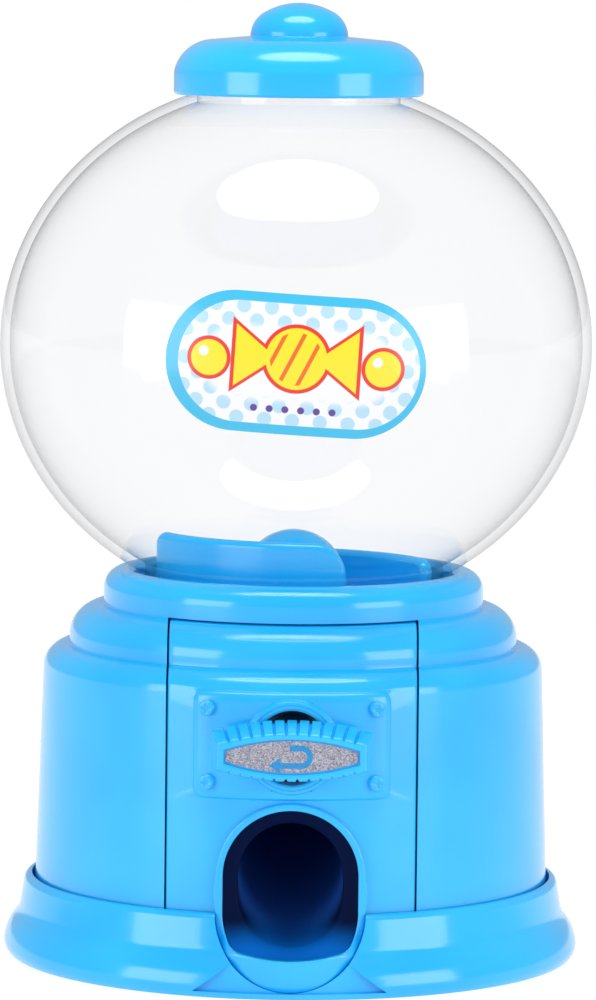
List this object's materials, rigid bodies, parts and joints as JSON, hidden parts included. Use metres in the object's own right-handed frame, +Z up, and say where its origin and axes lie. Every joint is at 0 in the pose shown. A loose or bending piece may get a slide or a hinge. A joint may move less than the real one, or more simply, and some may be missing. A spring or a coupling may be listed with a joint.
{
  "type": "gumball machine",
  "caption": "Desk-top toy candy and gumball machine: a clear globe on a stepped round drum, with a turning knob, a feed wheel, a chute to a front scoop and a lift-off lid.",
  "frame": {"origin": "on the floor, under the globe's vertical axis", "axes": "+Z up, the front with the knob and mouth faces -Y"},
  "size_m": [0.087, 0.0914, 0.1401],
  "materials": {
    "blue_plastic": "glossy moulded plastic",
    "clear_plastic": "clear blow-moulded plastic",
    "label_print": "printed sticker",
    "glitter_foil": "glitter foil sticker",
    "gear_plastic": "plain white moulded plastic",
    "screw_steel": "zinc plated steel"
  },
  "bodies": {
    "root": {"base": "blue_plastic", "body_shell": "blue_plastic", "front_panel": "blue_plastic", "chute": "blue_plastic", "globe": "clear_plastic", "globe_label": "label_print", "hopper_floor": "blue_plastic", "shaft_bracket": "gear_plastic", "bracket_screws": "screw_steel", "hopper_screws": "screw_steel", "chute_screws": "screw_steel", "base_screws": "screw_steel"},
    "knob": {"knob": "blue_plastic", "knob_screw": "screw_steel", "knob_label": "glitter_foil", "drive_shaft": "gear_plastic"},
    "feed_wheel": {"feed_wheel": "blue_plastic", "driven_gear": "gear_plastic", "gear_screw": "screw_steel"},
    "lid": {"lid": "blue_plastic"}
  },
  "joints": [
    {"name": "knob_spin", "type": "hinge", "parent": "root", "child": "knob", "pos_m": [0, -0.044, 0.0355], "axis": [0, 1, 0], "continuous": true},
    {"name": "feed_wheel_spin", "type": "hinge", "parent": "root", "child": "feed_wheel", "pos_m": [0, 0, 0.052], "axis": [0, 0, 1], "continuous": true},
    {"name": "lid_lift", "type": "slide", "parent": "root", "child": "lid", "axis": [0, 0, 1], "range_m": [0, 0.03]}
  ],
  "couplings": [
    {"joint": "knob_spin", "follows": "feed_wheel_spin", "ratio": 1}
  ]
}
